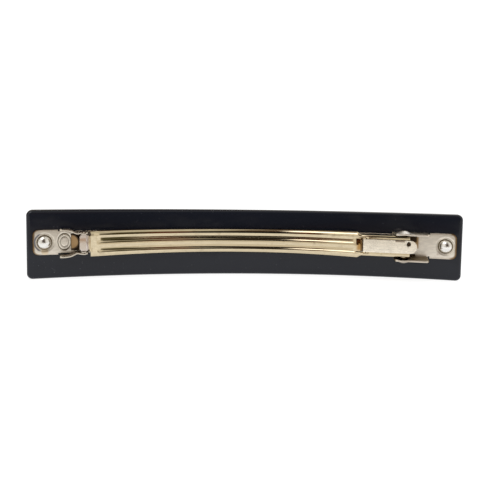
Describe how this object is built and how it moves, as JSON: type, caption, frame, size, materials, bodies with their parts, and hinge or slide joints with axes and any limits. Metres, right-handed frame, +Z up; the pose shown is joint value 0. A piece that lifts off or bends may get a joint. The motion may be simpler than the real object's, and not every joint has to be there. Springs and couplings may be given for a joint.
{
  "type": "barrette",
  "caption": "Long bowed bar barrette: a glossy black acetate bar with a riveted metal spring clasp, a fluted hinged arm caught between squeeze prongs.",
  "frame": {"origin": "middle of the lower long edge of the bar, at mid-thickness, where the barrette stands on its edge", "axes": "+X along the bar from the catch end to the hinge end, +Y from the clasp side through the bar to the show side, +Z up across the bar's width"},
  "size_m": [0.1016, 0.0138, 0.0157],
  "materials": {
    "black_acetate": "tumbled and polished black cellulose acetate",
    "nickelled_plate": "satin nickel plate on pressed steel",
    "polished_rivet": "polished nickel",
    "nickelled_prong": "satin nickel plate on spring steel",
    "gilt_arm": "pale gold tinted plate, polished",
    "bright_spring": "bright pale plated spring steel"
  },
  "bodies": {
    "base": {"acetate_bar": "black_acetate", "base_plate": "nickelled_plate", "left_rivet": "polished_rivet", "right_rivet": "polished_rivet"},
    "arm": {"clasp_arm": "gilt_arm", "spring_tail": "bright_spring"},
    "spring": {"tension_spring": "bright_spring"},
    "upper_prong": {"upper_catch_prong": "nickelled_prong"},
    "lower_prong": {"lower_catch_prong": "nickelled_prong"}
  },
  "joints": [
    {"name": "arm_hinge", "type": "hinge", "parent": "base", "child": "arm", "pos_m": [0.03611, -0.00927, 0.00845], "axis": [0, 0, 1], "range_deg": [0, 75]},
    {"name": "spring_flex", "type": "hinge", "parent": "arm", "child": "spring", "pos_m": [0.02632, -0.00728, 0.00845], "axis": [0, 0, 1], "range_deg": [-8, 0]},
    {"name": "upper_prong_squeeze", "type": "hinge", "parent": "base", "child": "upper_prong", "pos_m": [-0.03941, -0.00741, 0.01065], "axis": [0.2474, -0.9689, 0], "range_deg": [0, 10]},
    {"name": "lower_prong_squeeze", "type": "hinge", "parent": "base", "child": "lower_prong", "pos_m": [-0.03941, -0.00741, 0.00625], "axis": [-0.2474, 0.9689, 0], "range_deg": [0, 10]}
  ],
  "couplings": [
    {"joint": "spring_flex", "follows": "arm_hinge", "ratio": -0.1},
    {"joint": "lower_prong_squeeze", "follows": "upper_prong_squeeze", "ratio": 1}
  ]
}
